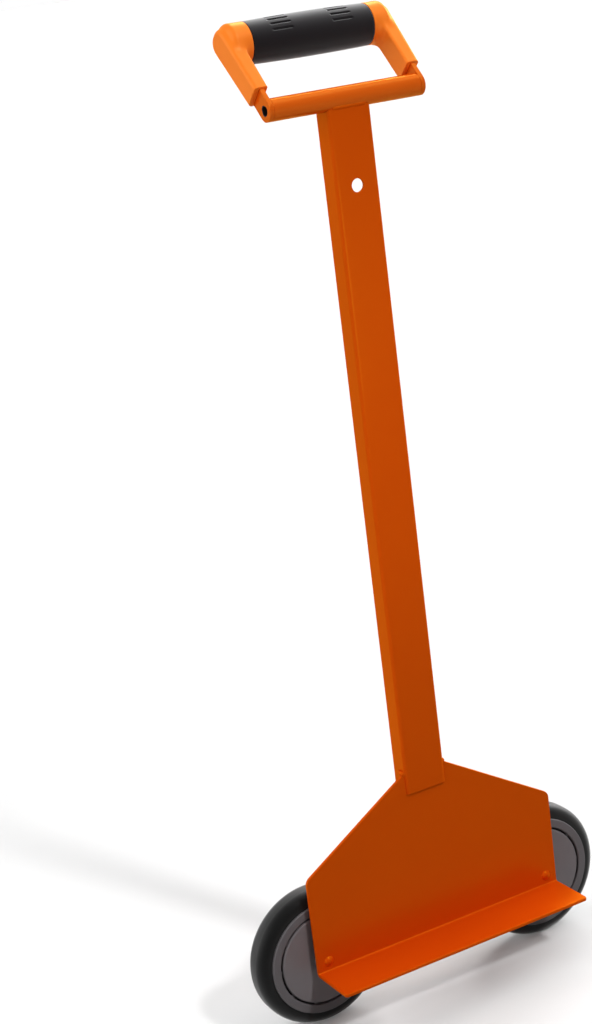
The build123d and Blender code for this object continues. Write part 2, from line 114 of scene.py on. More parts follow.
# what each finish is set to: lengths (cloud, grain, depth) in millimetres
finishes = {
    # polyester powder coat on steel: one even, saturated colour with a slight orange peel, whose 1 mm waves
    # are drawn at 3 mm to show; its gloss is tinted, so that lit faces turn yellower and not paler
    "powderCoat": dict(
        dark="#C23F03", light="#C84504", cloud=70, roughness=(0.26, 0.32), grain=3.0, depth=0.012,
        specular=0.0, shine="#FFB428", bend=1.5, mostShine=0.22),
    # the same coat on the smooth drawn tube and its tabs: glossier, and given a yellower, brighter base colour as
    # painted highlight for the warm cast of the lit tube
    "litTubeCoat": dict(
        dark="#CC4C06", light="#D25208", cloud=70, roughness=(0.17, 0.22), grain=3.0, depth=0.012,
        specular=0.0, shine="#FFBC50", bend=1.62, mostShine=0.3),
    # glass-filled polypropylene, injection moulded: brighter and warmer than the paint, with a fine spark
    # texture of 0.2 mm drawn at 0.9 mm
    "mouldedOrange": dict(
        dark="#F6791E", light="#FC8126", cloud=40, roughness=(0.34, 0.4), grain=0.9, depth=0.01,
        specular=0.0, shine="#FFCA84", bend=1.5, mostShine=0.22),
    # thermoplastic rubber moulded over the grip: near black with a satin sheen
    "gripRubber": dict(
        dark="#100D10", light="#161316", cloud=25, roughness=(0.58, 0.66), grain=0.8, depth=0.012,
        specular=0.25, glint="#606060", sheen=0.8),
    # polypropylene wheel centre, injection moulded: a warm mid grey, dull, with a fine spark texture
    "wheelPlastic": dict(
        dark="#5A5658", light="#625E60", cloud=30, roughness=(0.45, 0.55), grain=0.9, depth=0.012,
        specular=0.25),
    # the same polypropylene on the hub covers, given a lighter tone as painted light for the brighter light on the
    # covers' faces
    "litCoverPlastic": dict(
        dark="#6B6567", light="#736D6F", cloud=30, roughness=(0.4, 0.5), grain=0.9, depth=0.01,
        specular=0.25),
    # moulded black rubber: matt, with a soft sheen where it turns away
    "tyreRubber": dict(
        dark="#0B0B0B", light="#121212", cloud=20, roughness=(0.42, 0.5), grain=1.0, depth=0.02,
        specular=0.35, glint="#606060", sheen=0.6),
    # bare steel inside the tube and the tabs' drilled holes, where the coat does not reach: matt mill scale, made
    # nearly black as painted shade for the dark bore
    "millScaleAndShade": dict(
        dark="#1A1817", light="#242120", cloud=8, roughness=(0.5, 0.6), grain=1.0, depth=0.01,
        specular=0.2),
    # zinc-plated steel: a cool bright grey with a faint crystal pattern
    "zincPlate": dict(
        dark="#A9ADB3", light="#C3C6CB", cloud=4, roughness=(0.28, 0.4), grain=1.5, depth=0.008,
        metallic=1.0),
    # hardened bearing steel, ground: bright and smooth
    "groundSteel": dict(
        dark="#BDBEC0", light="#CBCCCE", cloud=6, roughness=(0.15, 0.22), grain=0.6, depth=0.003,
        metallic=1.0),
    # natural nylon, moulded: a milky off-white
    "naturalNylon": dict(
        dark="#D2CBB8", light="#DED8C8", cloud=10, roughness=(0.4, 0.5), grain=0.8, depth=0.01),
    # blue nylon ring pressed into the lock nut
    "blueNylon": dict(
        dark="#2A579B", light="#3566B0", cloud=6, roughness=(0.35, 0.45), grain=0.8, depth=0.01),
}
finish = {name: makeFinish(name, look) for name, look in finishes.items()}

# every CAD node takes the finish of its slot, and the hub covers their own, a shade lighter as painted light
slotFinish = {
    "orange_paint": "powderCoat", "orange_plastic": "mouldedOrange", "grip_black": "gripRubber",
    "grey_plastic": "wheelPlastic", "tyre_black": "tyreRubber", "bearing_steel": "groundSteel",
    "zinc_steel": "zincPlate", "cage_nylon": "naturalNylon", "insert_nylon": "blueNylon"}
for subpart in frame["record"]["subparts"]:
    finishName = slotFinish[subpart["material_slot"]]
    if subpart["node"].endswith("_cover"):
        finishName = "litCoverPlastic"
    cadMesh = frame["nodes"][subpart["node"]].data
    cadMesh.materials.clear()
    cadMesh.materials.append(finish[finishName])
print("finishes made:", ", ".join(finish))

# rows round a rounded edge, the gap at which points become one, and the fold in degrees that stays sharp
meshing = dict(edgeRows=4, mergeDistance=0.001, sharpAngle=50)


# a CAD node's box in millimetres
def box(node):
    return tuple(np.array(corner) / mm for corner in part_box(node))


# vectors made one long; a zero vector stays zero
def unit(vector):
    return vector / np.maximum(np.linalg.norm(vector, axis=-1, keepdims=True), tiny)


# evenly spaced angles from 0 to 90 degrees
def quarterTurn(count):
    return np.linspace(0, np.pi / 2, count)


# evenly spaced angles once round, without the last one, which would be the first again
def fullTurn(count):
    return np.linspace(0, 2 * np.pi, count, endpoint=False)


# closed outline with round corners: a corner (a, b, radius) becomes the arc that touches both its sides,
# swept by turning from the first touching point to the second about the arc's centre
def roundCorners(corners, steps):
    corners = np.array(corners, float)
    point, radius = corners[:, :2], corners[:, 2:]
    toLast = unit(np.roll(point, 1, 0) - point)
    toNext = unit(np.roll(point, -1, 0) - point)
    halfAngle = np.arccos(np.clip((toLast * toNext).sum(1, keepdims=True), -1, 1)) / 2
    centre = point + unit(toLast + toNext) * radius / np.sin(halfAngle)
    start = unit(point + toLast * radius / np.tan(halfAngle) - centre)[:, None]
    end = unit(point + toNext * radius / np.tan(halfAngle) - centre)[:, None]
    turned = np.linspace(0, 1, steps + 1)[None, :, None]
    sweep = np.pi - 2 * halfAngle[:, None]
    arc = np.sin((1 - turned) * sweep) * start + np.sin(turned * sweep) * end
    arc = arc / np.maximum(np.sin(sweep), tiny)
    return (centre[:, None] + radius[:, None] * arc).reshape(-1, 2)


# turned shape: point = centre + along * axis + radius * (cos t * first + sin t * (axis x first)), for a
# profile of (along, radius) pairs; a piece that isn't round has its radius given for each angle and pair
def spin(profile, centre, axis, turns, radius=None, first=None):
    axis = np.array(axis, float)
    first = np.roll(axis, 1) if first is None else first
    angle = fullTurn(turns)[:, None, None]
    around = np.cos(angle) * first + np.sin(angle) * np.cross(axis, first)
    out = profile[None, :, 1:] if radius is None else radius[..., None]
    return np.array(centre) + profile[None, :, :1] * axis + out * around


# sheet metal: a thin rounded rectangle carried along a folded line. At length s along the line, fold(s)
# gives the line and its normal, and span(s) the sheet's low and high edge across it; half the thickness
# lies each way along the normal, edges and ends are rounded off, and the faces have rows at the breaks
def foldedSheet(fold, span, stations, across, breaks, thickness, edge):
    half, turn = thickness / 2, quarterTurn(meshing["edgeRows"])
    ease = np.append(turn, np.pi / 2)
    endRun, endShrink = edge * (1 - np.sin(ease)), edge * (1 - np.cos(ease))
    inner = stations[(stations > stations[0] + edge) & (stations < stations[-1] - edge)]
    s = np.concatenate([(stations[0] + endRun)[::-1], inner, stations[-1] - endRun])
    shrink = np.concatenate([endShrink[::-1], inner * 0, endShrink])
    middle, normal = fold(s)
    low, high = span(s)
    out = edge * np.concatenate([np.sin(turn), np.cos(turn)]) - edge
    lift = np.concatenate([edge - half - edge * np.cos(turn), half - edge + edge * np.sin(turn)])
    reach = np.hstack([
        (high - shrink)[:, None] + out, np.tile(breaks[::-1], (len(s), 1)),
        (low + shrink)[:, None] - out, np.tile(breaks, (len(s), 1))])
    depth = np.concatenate([lift, half + breaks * 0, -lift, -half + breaks * 0])
    depth = np.sign(depth) * (np.abs(depth) - shrink[:, None])
    depth[[0, -1]] = 0                      # both ends close on the middle line
    return middle[:, None] + reach[..., None] * np.array(across) + depth[..., None] * normal[:, None]


# mesh from grids of points: neighbours make a quad, a wrapped direction joins its last row to its first,
# and quads whose middle a skip test picks are left open. A piece has one finish, or one for each grid
def makePiece(name, sheets, finishNames, body, slot, *replaced):
    points, quads, count = [], [], 0
    for grid, wrapU, wrapV, *skip in sheets:
        index = count + np.arange(grid.shape[0] * grid.shape[1]).reshape(grid.shape[:2])
        index = np.vstack([index, index[:1]]) if wrapU else index
        index = np.hstack([index, index[:, :1]]) if wrapV else index
        cells = np.stack([index[:-1, :-1], index[1:, :-1], index[1:, 1:], index[:-1, 1:]], -1).reshape(-1, 4)
        points.append(grid.reshape(-1, 3))
        for test in skip:
            cells = cells[~test(points[-1][cells - count].mean(1))]
        quads.append(cells)
        count += len(points[-1])
    mesh = bpy.data.meshes.new(name)
    mesh.from_pydata((np.concatenate(points) * mm).tolist(), [], np.concatenate(quads).tolist())
    sheetNumber = np.repeat(np.arange(len(quads)), [len(cells) for cells in quads])
    mesh.polygons.foreach_set("material_index", np.minimum(sheetNumber, len(finishNames) - 1))
    shell = bmesh.new()
    shell.from_mesh(mesh)
    bmesh.ops.remove_doubles(shell, verts=shell.verts, dist=meshing["mergeDistance"] * mm)
    bmesh.ops.recalc_face_normals(shell, faces=shell.faces)
    shell.to_mesh(mesh)
    shell.free()
    mesh.shade_smooth()
    mesh.set_sharp_from_angle(angle=math.radians(meshing["sharpAngle"]))
    for finishName in finishNames:
        mesh.materials.append(finish[finishName])
    piece = bpy.data.objects.new(name, mesh)
    bpy.context.scene.collection.objects.link(piece)
    piece.modifiers.new("evenShading", "WEIGHTED_NORMAL").keep_sharp = True
    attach(piece, body)
    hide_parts(*replaced)


# face plate: a flat pattern, half width against length from the neck, folded down and out into the ledge
plate = dict(
    thickness=3.0, bendRadius=1.5, edge=0.7, shoulderHeight=141.0, shoulderRadius=8.0, tipRadius=3.0,
    cornerSteps=10, bendRows=11, decimals=4)
plateLow, plateHigh = box("face_plate")
postLow, postHigh = box("post")
plateFront = plateHigh[1] - plate["thickness"]
ledgeTop = plateLow[2] + plate["thickness"]
neckHeight = plateHigh[2]
midRadius = plate["bendRadius"] + plate["thickness"] / 2
bendY, bendZ = plateFront - plate["bendRadius"], ledgeTop + plate["bendRadius"]
bendStart = neckHeight - bendZ
bendEnd = bendStart + midRadius * math.pi / 2
ledgeEnd = bendEnd + bendY - plateLow[1]
pattern = roundCorners([
    (0, 0, 0), (postHigh[0], 0, 0),
    (plateHigh[0], neckHeight - plate["shoulderHeight"], plate["shoulderRadius"]),
    (plateHigh[0], ledgeEnd, plate["tipRadius"]), (0, ledgeEnd, 0)], plate["cornerSteps"])
pattern = pattern[pattern[:, 0] > plate["edge"]]        # without the two points on the middle line


# straight down, a quarter turn of the bend, then straight out
def plateFold(s):
    bend = np.clip((s - bendStart) / midRadius, 0, np.pi / 2)
    y = bendY + midRadius * np.cos(bend) - np.maximum(s - bendEnd, 0)
    z = bendZ - midRadius * np.sin(bend) + np.maximum(bendStart - s, 0)
    return np.stack([s * 0, y, z], -1), np.stack([s * 0, -np.cos(bend), np.sin(bend)], -1)


# half the pattern's width to each side
def plateSpan(s):
    halfWidth = np.interp(s, pattern[:, 1], pattern[:, 0])
    return -halfWidth, halfWidth


# rounded, so that a station that comes up twice counts once
plateStations = np.unique(np.concatenate([
    pattern[:, 1].round(plate["decimals"]), np.linspace(bendStart, bendEnd, plate["bendRows"])]))
plateGrid = foldedSheet(
    plateFold, plateSpan, plateStations, xAxis, np.array([]), plate["thickness"], plate["edge"])
makePiece("facePlate", [(plateGrid, False, True)], ["powderCoat"], "frame", "orange_paint", "face_plate")

# crossbar: a round tube, coated on the outside and the ends, and bare in its bore, whose near-black finish is
# painted shade
barLow, barHigh = box("crossbar")
bar = dict(wall=2.0, edge=0.4, radius=(barHigh[2] - barLow[2]) / 2, cornerSteps=4, turns=96)
barY, barZ = (barLow[1] + barHigh[1]) / 2, (barLow[2] + barHigh[2]) / 2
barMiddle = np.array((0, barY, barZ))
boreRadius = bar["radius"] - bar["wall"]
tubeSkin = roundCorners([
    (barLow[0], boreRadius, bar["edge"]), (barLow[0], bar["radius"], bar["edge"]),
    (barHigh[0], bar["radius"], bar["edge"]), (barHigh[0], boreRadius, bar["edge"])], bar["cornerSteps"])
tubeBore = tubeSkin[[-1, 0]]                # straight between the skin's two inner edges
tubeSheets = [(spin(part, barMiddle, xAxis, bar["turns"]), True, False) for part in (tubeSkin, tubeBore)]
makePiece("crossTube", tubeSheets, ["litTubeCoat", "millScaleAndShade"], "frame", "orange_paint", "crossbar")

# post: a channel folded round its front wall, slotted over the plate below and coped to the bar above
post = dict(
    wall=2.5, cornerRadius=3.2, edge=0.5, barGap=0.1, slotSide=0.001, cornerRows=9,
    holePatch=11.0, patchRows=11, lipRows=5)
holeMount = next(mount for mount in frame["record"]["mounts"] if mount["name"] == "hanging_hole")
holeZ, holeRadius = holeMount["pos_m"][2] / mm, holeMount["dims"]["r_mm"]
foldRadius = post["cornerRadius"] - post["wall"] / 2
wallX, wallY = postHigh[0] - post["wall"] / 2, postLow[1] + post["wall"] / 2
webHalf = wallX - foldRadius
cornerEnd = webHalf + foldRadius * math.pi / 2
channelHalf = cornerEnd + postHigh[1] - wallY - foldRadius
slotStart = webHalf + foldRadius * math.acos(1 - (plateFront - postLow[1]) / post["cornerRadius"])
slotEnd = cornerEnd + plateHigh[1] - wallY - foldRadius


# from the middle of the front wall out, a quarter turn round the corner, then back along the side wall
def postFold(s):
    bend = np.clip((np.abs(s) - webHalf) / foldRadius, 0, np.pi / 2)
    x = np.minimum(np.abs(s), webHalf) + foldRadius * np.sin(bend)
    y = wallY + foldRadius * (1 - np.cos(bend)) + np.maximum(np.abs(s) - cornerEnd, 0)
    hand = np.sign(s)
    return np.stack([hand * x, y, s * 0], -1), np.stack([hand * np.sin(bend), -np.cos(bend), s * 0], -1)


# from the foot, or from the plate's top where the slot is, up to the bar's axis
def postSpan(s):
    inSlot = (np.abs(s) > slotStart) & (np.abs(s) < slotEnd)
    return np.where(inSlot, neckHeight, postLow[2]), s * 0 + barZ


patch = np.linspace(-post["holePatch"], post["holePatch"], post["patchRows"])
slotSides = np.array((-1, 1)) * post["slotSide"]
halfStations = np.concatenate([
    np.linspace(webHalf, cornerEnd, post["cornerRows"]), slotStart + slotSides, slotEnd + slotSides,
    [channelHalf]])
postStations = np.unique(np.concatenate([-halfStations, patch, halfStations]))
postGrid = foldedSheet(
    postFold, postSpan, postStations, (0, 0, 1), holeZ + patch, post["wall"], post["edge"])

# the top is coped: it ends at the tube's underside, and behind the tube half its radius below the axis
barDrop = np.sqrt(np.maximum((bar["radius"] + post["barGap"]) ** 2 - (postGrid[..., 1] - barY) ** 2, 0))
atTop = postGrid[..., 2] > barZ - bar["radius"]
postGrid[..., 2] -= np.where(atTop, np.maximum(barDrop, bar["radius"] / 2), 0)

# hanging hole: rings that run from a square on the front, through the rounded bore, to one on the back
sideRun, sideEnd = patch[:-1], np.full(len(patch) - 1, patch[-1])
squareSides = ((sideRun, -sideEnd), (sideEnd, sideRun), (-sideRun, sideEnd), (-sideEnd, -sideRun))
square = np.concatenate([np.stack(pair, -1) for pair in squareSides])
lip = quarterTurn(post["lipRows"])
lipRadius = holeRadius + post["edge"] * (1 - np.sin(lip))
lipDepth = post["edge"] * (1 - np.cos(lip))
ringRadius = np.concatenate([lipRadius, lipRadius[::-1]])[:, None, None]
rings = np.concatenate([square[None], unit(square)[None] * ringRadius, square[None]])
ringDepth = np.concatenate([[0], lipDepth, post["wall"] - lipDepth[::-1], [post["wall"]]])
ringY = postLow[1] + ringDepth[:, None] + 0 * rings[..., 0]
holeGrid = np.stack([rings[..., 0], ringY, holeZ + rings[..., 1]], -1)


# quads of the post that the hole's rings take the place of
def underHole(middle):
    return (np.abs(middle[:, 0]) < patch[-1]) & (np.abs(middle[:, 2] - holeZ) < patch[-1])


makePiece(
    "channelPost", [(postGrid, False, True, underHole), (holeGrid, False, True)],
    ["powderCoat"], "frame", "orange_paint", "post")

# handle tabs: flat steel, round about the bar's axis, with a drain hole and a narrower tang inside the
# handle arm. Each spoke from the hole's centre meets the outline once, so the faces run straight from the
# hole to the outline
tab = dict(
    tilt=45.0, armStart=15.2, tangLength=30.0, tangWidth=14.0, holeRadius=4.0, edge=0.5, corner=0.8,
    cornerSteps=12, roundShare=0.999)       # the round end's two arcs stop just short of each other
tilt = math.radians(tab["tilt"])
upArm = np.array((0, math.sin(tilt), math.cos(tilt)))
acrossArm = np.array((0, -math.cos(tilt), math.sin(tilt)))
tangEnd, tangHalf, tabHalf = tab["armStart"] + tab["tangLength"], tab["tangWidth"] / 2, bar["radius"]
roundEnd = tabHalf * tab["roundShare"]
tabOutline = roundCorners([
    (tangEnd, tangHalf, tab["corner"]), (tab["armStart"], tangHalf, tab["corner"]),
    (tab["armStart"], tabHalf, tab["corner"]), (-tabHalf, tabHalf, roundEnd),
    (-tabHalf, -tabHalf, roundEnd), (tab["armStart"], -tabHalf, tab["corner"]),
    (tab["armStart"], -tangHalf, tab["corner"]), (tangEnd, -tangHalf, tab["corner"])], tab["cornerSteps"])
edgeRun = unit(np.roll(tabOutline, -1, 0) - np.roll(tabOutline, 1, 0))
inwards = np.stack([-edgeRun[:, 1], edgeRun[:, 0]], -1)
edgeTurn = quarterTurn(meshing["edgeRows"])
edgeIn, edgeDown = tab["edge"] * (1 - np.sin(edgeTurn)), tab["edge"] * (1 - np.cos(edgeTurn))
inset = np.concatenate([edgeIn, edgeDown])[:, None, None]
tabFlat = np.concatenate([
    tabOutline[None] + inset * inwards[None], (tab["holeRadius"] + inset) * unit(tabOutline)[None]])
holeRow = len(inset)                        # rows from here on are the hole's bare drilled wall
for side in ("left", "right"):
    tabLow, tabHigh = box(f"{side}_tab")
    tabDepth = np.concatenate([edgeDown, tabHigh[0] - tabLow[0] - edgeIn])
    tabX = tabLow[0] + np.concatenate([tabDepth, tabDepth[::-1]])[:, None, None]
    tabGrid = barMiddle + tabX * xAxis + tabFlat[..., :1] * upArm + tabFlat[..., 1:] * acrossArm
    # the hole's wall takes the near-black finish: bare steel, darkened as painted shade
    tabSheets = [(np.roll(tabGrid, 1, 0)[:holeRow + 2], False, True), (tabGrid[holeRow:], False, True)]
    makePiece(f"{side}Tab", tabSheets, ["litTubeCoat", "millScaleAndShade"], "frame", "orange_paint", f"{side}_tab")

# elbows: a leaning blade and a round boss melted into one moulding. Both are distance fields in the
# handle's own directions, up the arm (u), across it (v) and outwards (x), joined by a soft minimum
elbow = dict(
    reach=70.6, lowHalf=10.5, highHalf=11.3, crest=13.0, crestRadius=10.0, thickness=11.5, splay=1.9,
    outerEdge=3.5, innerEdge=2.2, bossLength=7.75, bossRadius=17.2, headThickness=8.25, headEdge=4.0,
    melt=5.5, endEdge=0.4, armMiddle=5.5, bossShift=8.0, leastAngle=0.15, longestRay=40.0, halvings=30,
    firstGap=1.0, lastGap=0.3, armRings=70, bossRings=120, endRays=25, outerRays=200)
gripLow, gripHigh = box("grip_sleeve")
gripHalf = gripHigh[0]
armInner = gripHalf + elbow["bossLength"]
headEnd = armInner + elbow["headThickness"]
armTop = elbow["reach"] + elbow["crest"]


# distance to two walls a and b that meet in a rounded corner
def roundedCorner(a, b, radius):
    a, b = np.broadcast_arrays(a + radius, b + radius)
    return np.hypot(np.maximum(a, 0), np.maximum(b, 0)) + np.minimum(np.maximum(a, b), 0) - radius


# distance to the moulding: boss and blade, mixed by their share and drawn together where they are close
def elbowField(u, v, x):
    rise = np.clip((u - tab["armStart"]) / (elbow["reach"] - tab["armStart"]), 0, 1)
    halfWidth = elbow["lowHalf"] + (elbow["highHalf"] - elbow["lowHalf"]) * rise
    outerFace = armInner + elbow["thickness"] + u * math.tan(math.radians(elbow["splay"]))
    armOutline = roundedCorner(np.abs(v) - halfWidth, u - armTop, elbow["crestRadius"])
    blade = np.where(
        x > armInner + elbow["thickness"] / 2,
        roundedCorner(armOutline, x - outerFace, elbow["outerEdge"]),
        roundedCorner(armOutline, armInner - x, elbow["innerEdge"]))
    bossWall = np.hypot(u - elbow["reach"], v) - elbow["bossRadius"]
    boss = np.maximum(roundedCorner(bossWall, x - headEnd, elbow["headEdge"]), gripHalf - x)
    share = np.clip(0.5 + 0.5 * (boss - blade) / elbow["melt"], 0, 1)
    return boss + (blade - boss) * share - elbow["melt"] * share * (1 - share)


# rings up the arm, closer where the boss turns; on each ring, rays from a point inside find the surface by
# halving, and two of them always meet the edge where the boss ends at the grip. The first and the last ring
# are a point, which closes the moulding at the tab and at the top
bossU = elbow["reach"] - elbow["bossRadius"] * np.cos(np.linspace(0, np.pi, elbow["bossRings"]))
armU = np.linspace(tab["armStart"] + elbow["firstGap"], bossU[0] - elbow["lastGap"], elbow["armRings"])
ringU = np.concatenate([
    tab["armStart"] + np.array((0, 0, 1)) * elbow["endEdge"], armU, bossU, bossU[-1:]])[:, None]
onBoss = np.clip((ringU - bossU[0]) / (2 * elbow["bossRadius"]), 0, 1)
inside = armInner + elbow["armMiddle"] - elbow["bossShift"] * onBoss       # where a ring's rays start
bossHalf = elbow["bossRadius"] * 2 * np.sqrt(onBoss - onBoss ** 2)         # half the boss's width there
endAngle = np.maximum(np.arctan2(bossHalf, inside - gripHalf), elbow["leastAngle"])
outerShare = np.linspace(0, 1, elbow["outerRays"])[1:-1]
rayAngle = np.hstack([
    endAngle * np.linspace(-1, 1, elbow["endRays"]), endAngle + (2 * np.pi - 2 * endAngle) * outerShare])
near = rayAngle * 0
far = near + elbow["longestRay"]
for _ in range(elbow["halvings"]):
    rayLength = (near + far) / 2
    within = elbowField(ringU, rayLength * np.sin(rayAngle), inside - rayLength * np.cos(rayAngle)) < 0
    near, far = np.where(within, rayLength, near), np.where(within, far, rayLength)
rayLength[0], rayLength[1], rayLength[-1] = 0, rayLength[1] - elbow["endEdge"], 0
elbowV = (rayLength * np.sin(rayAngle))[..., None]
elbowX = (inside - rayLength * np.cos(rayAngle))[..., None]
for side, sign in (("left", -1), ("right", 1)):
    elbowGrid = barMiddle + sign * elbowX * xAxis + ringU[..., None] * upArm + elbowV * acrossArm
    makePiece(
        f"{side}Elbow", [(elbowGrid, False, True)], ["mouldedOrange"], "frame", "orange_plastic",
        f"{side}_elbow")

# grip: a barrel whose radius falls off with the square of the distance from its middle, with two groups of
# grooves pressed along it on the side that faces up; each groove is a rounded trough with soft ends
grip = dict(
    swell=0.8, edge=1.2, boreRadius=12.1, grooves=4, firstAngle=53.0, angleStep=18.3, grooveStart=18.0,
    grooveEnd=38.0, grooveWidth=2.8, grooveDepth=1.0, grooveFade=1.5, rows=170, edgeRows=6, turns=320)
gripRadius = (gripHigh[2] - gripLow[2]) / 2
barrelX = np.linspace(grip["edge"] - gripHalf, gripHalf - grip["edge"], grip["rows"])
barrelRadius = gripRadius - grip["swell"] * (barrelX / gripHalf) ** 2
endTurn = quarterTurn(grip["edgeRows"])
endX = gripHalf - grip["edge"] * (1 - np.sin(endTurn))
endRadius = gripRadius - grip["swell"] - grip["edge"] * (1 - np.cos(endTurn))
rightEnd = np.append(np.stack([endX, endRadius], -1), [(gripHalf, grip["boreRadius"])], 0)
barrel = np.concatenate([rightEnd[::-1] * (-1, 1), np.stack([barrelX, barrelRadius], -1), rightEnd])
grooveAngle = np.radians(grip["firstAngle"] + grip["angleStep"] * np.arange(grip["grooves"]))
fromGroove = np.abs(fullTurn(grip["turns"])[:, None] - grooveAngle).min(1) * gripRadius
trough = np.maximum(1 - (fromGroove / (grip["grooveWidth"] / 2)) ** 2, 0) ** 2
fromMiddle = np.abs(barrel[:, 0])
fade = np.clip((fromMiddle - grip["grooveStart"]) / grip["grooveFade"], 0, 1)
fade = fade * np.clip((grip["grooveEnd"] - fromMiddle) / (2 * grip["grooveFade"]), 0, 1)
softFade = fade ** 2 * (3 - 2 * fade) * (barrel[:, 1] > grip["boreRadius"])
groovedRadius = barrel[:, 1] - grip["grooveDepth"] * trough[:, None] * softFade
gripGrid = spin(barrel, (gripLow + gripHigh) / 2, xAxis, grip["turns"], groovedRadius, upArm)
makePiece("gripSleeve", [(gripGrid, True, True)], ["gripRubber"], "frame", "grip_black", "grip_sleeve")
print("frame pieces made")

# tyres: a rounded rubber section with a slightly crowned tread, moulded over the rim's key rib
tyre = dict(
    boreRadius=50.55, keyHalf=4.55, keyRadius=54.05, corner=9.0, crown=0.4, crownRadius=60.0, bead=0.6,
    key=0.3, cornerSteps=14, turns=192)
for joint in frame["joints"]:
    side = joint["child"].split("_")[0]
    tyreLow, tyreHigh = box(f"{side}_tyre")
    tyreHalf, tread = (tyreHigh[1] - tyreLow[1]) / 2, (tyreHigh[2] - tyreLow[2]) / 2
    section = roundCorners([
        (-tyreHalf, tyre["boreRadius"], tyre["bead"]),
        (-tyreHalf, tread - tyre["crown"], tyre["corner"]),
        (0, tread, tyre["crownRadius"]),
        (tyreHalf, tread - tyre["crown"], tyre["corner"]),
        (tyreHalf, tyre["boreRadius"], tyre["bead"]),
        (tyre["keyHalf"], tyre["boreRadius"], tyre["key"]),
        (tyre["keyHalf"], tyre["keyRadius"], tyre["key"]),
        (-tyre["keyHalf"], tyre["keyRadius"], tyre["key"]),
        (-tyre["keyHalf"], tyre["boreRadius"], tyre["key"])], tyre["cornerSteps"])
    tyreGrid = spin(section, np.array(joint["pos_m"]) / mm, joint["axis"], tyre["turns"])
    makePiece(
        f"{side}Tyre", [(tyreGrid, True, True)], ["tyreRubber"], joint["child"], "tyre_black", f"{side}_tyre")
print("wheel pieces made")

# welds: beads at the side walls' feet, inside the channel and under the crossbar
weld = dict(
    foot=dict(radius=2.4, ripple=0.07), bar=dict(radius=1.6, ripple=0.05), pitch=1.8, bluntness=1.6, lean=0.8,
    overrun=1.0, runBack=4.5, innerStop=4.9, sunk=0.6, rows=90, turns=32,
    aslant=(0.3, 0.5, 0.8))                 # any direction that no bead runs in


# weld bead: a round bar with blunt ends whose radius swells in ripples that lean back at the sides
def weldBead(start, end, bead):
    start, end = np.array(start, float), np.array(end, float)
    along = unit(end - start)
    first = unit(np.cross(along, weld["aslant"]))
    length = np.linalg.norm(end - start)
    t = np.linspace(0, 1, weld["rows"])[:, None]
    angle = fullTurn(weld["turns"])[None]
    blunt = np.abs(2 * t - 1) ** (length / bead["radius"] * weld["bluntness"])
    wave = np.sin(2 * np.pi * t * length / weld["pitch"] + weld["lean"] * np.cos(angle))
    radius = bead["radius"] * np.sqrt(np.maximum(1 - blunt, 0)) * (1 + bead["ripple"] * wave)
    around = np.cos(angle)[..., None] * first + np.sin(angle)[..., None] * np.cross(along, first)
    return start + t[..., None] * (end - start) + radius[..., None] * around


seamFront, seamBack = plateFront - weld["overrun"], plateHigh[1] + weld["runBack"]
footSeams = [((x, seamFront, neckHeight), (x, seamBack, neckHeight)) for x in (postLow[0], postHigh[0])]
footSeams.append([
    (x, plateFront, neckHeight) for x in (postLow[0] + weld["innerStop"], postHigh[0] - weld["innerStop"])])
makePiece(
    "footWelds", [(weldBead(*seam, weld["foot"]), False, True) for seam in footSeams],
    ["powderCoat"], "frame", "orange_paint", "foot_welds")
barWeldLow, barWeldHigh = box("crossbar_weld")
seamZ = barZ - math.sqrt(bar["radius"] ** 2 - (barY - postLow[1]) ** 2)
barSeam = [(x, postLow[1] + weld["sunk"], seamZ) for x in (barWeldLow[0], barWeldHigh[0])]
makePiece(
    "crossbarWeld", [(weldBead(*barSeam, weld["bar"]), False, True)],
    ["powderCoat"], "frame", "orange_paint", "crossbar_weld")
print("welds made")

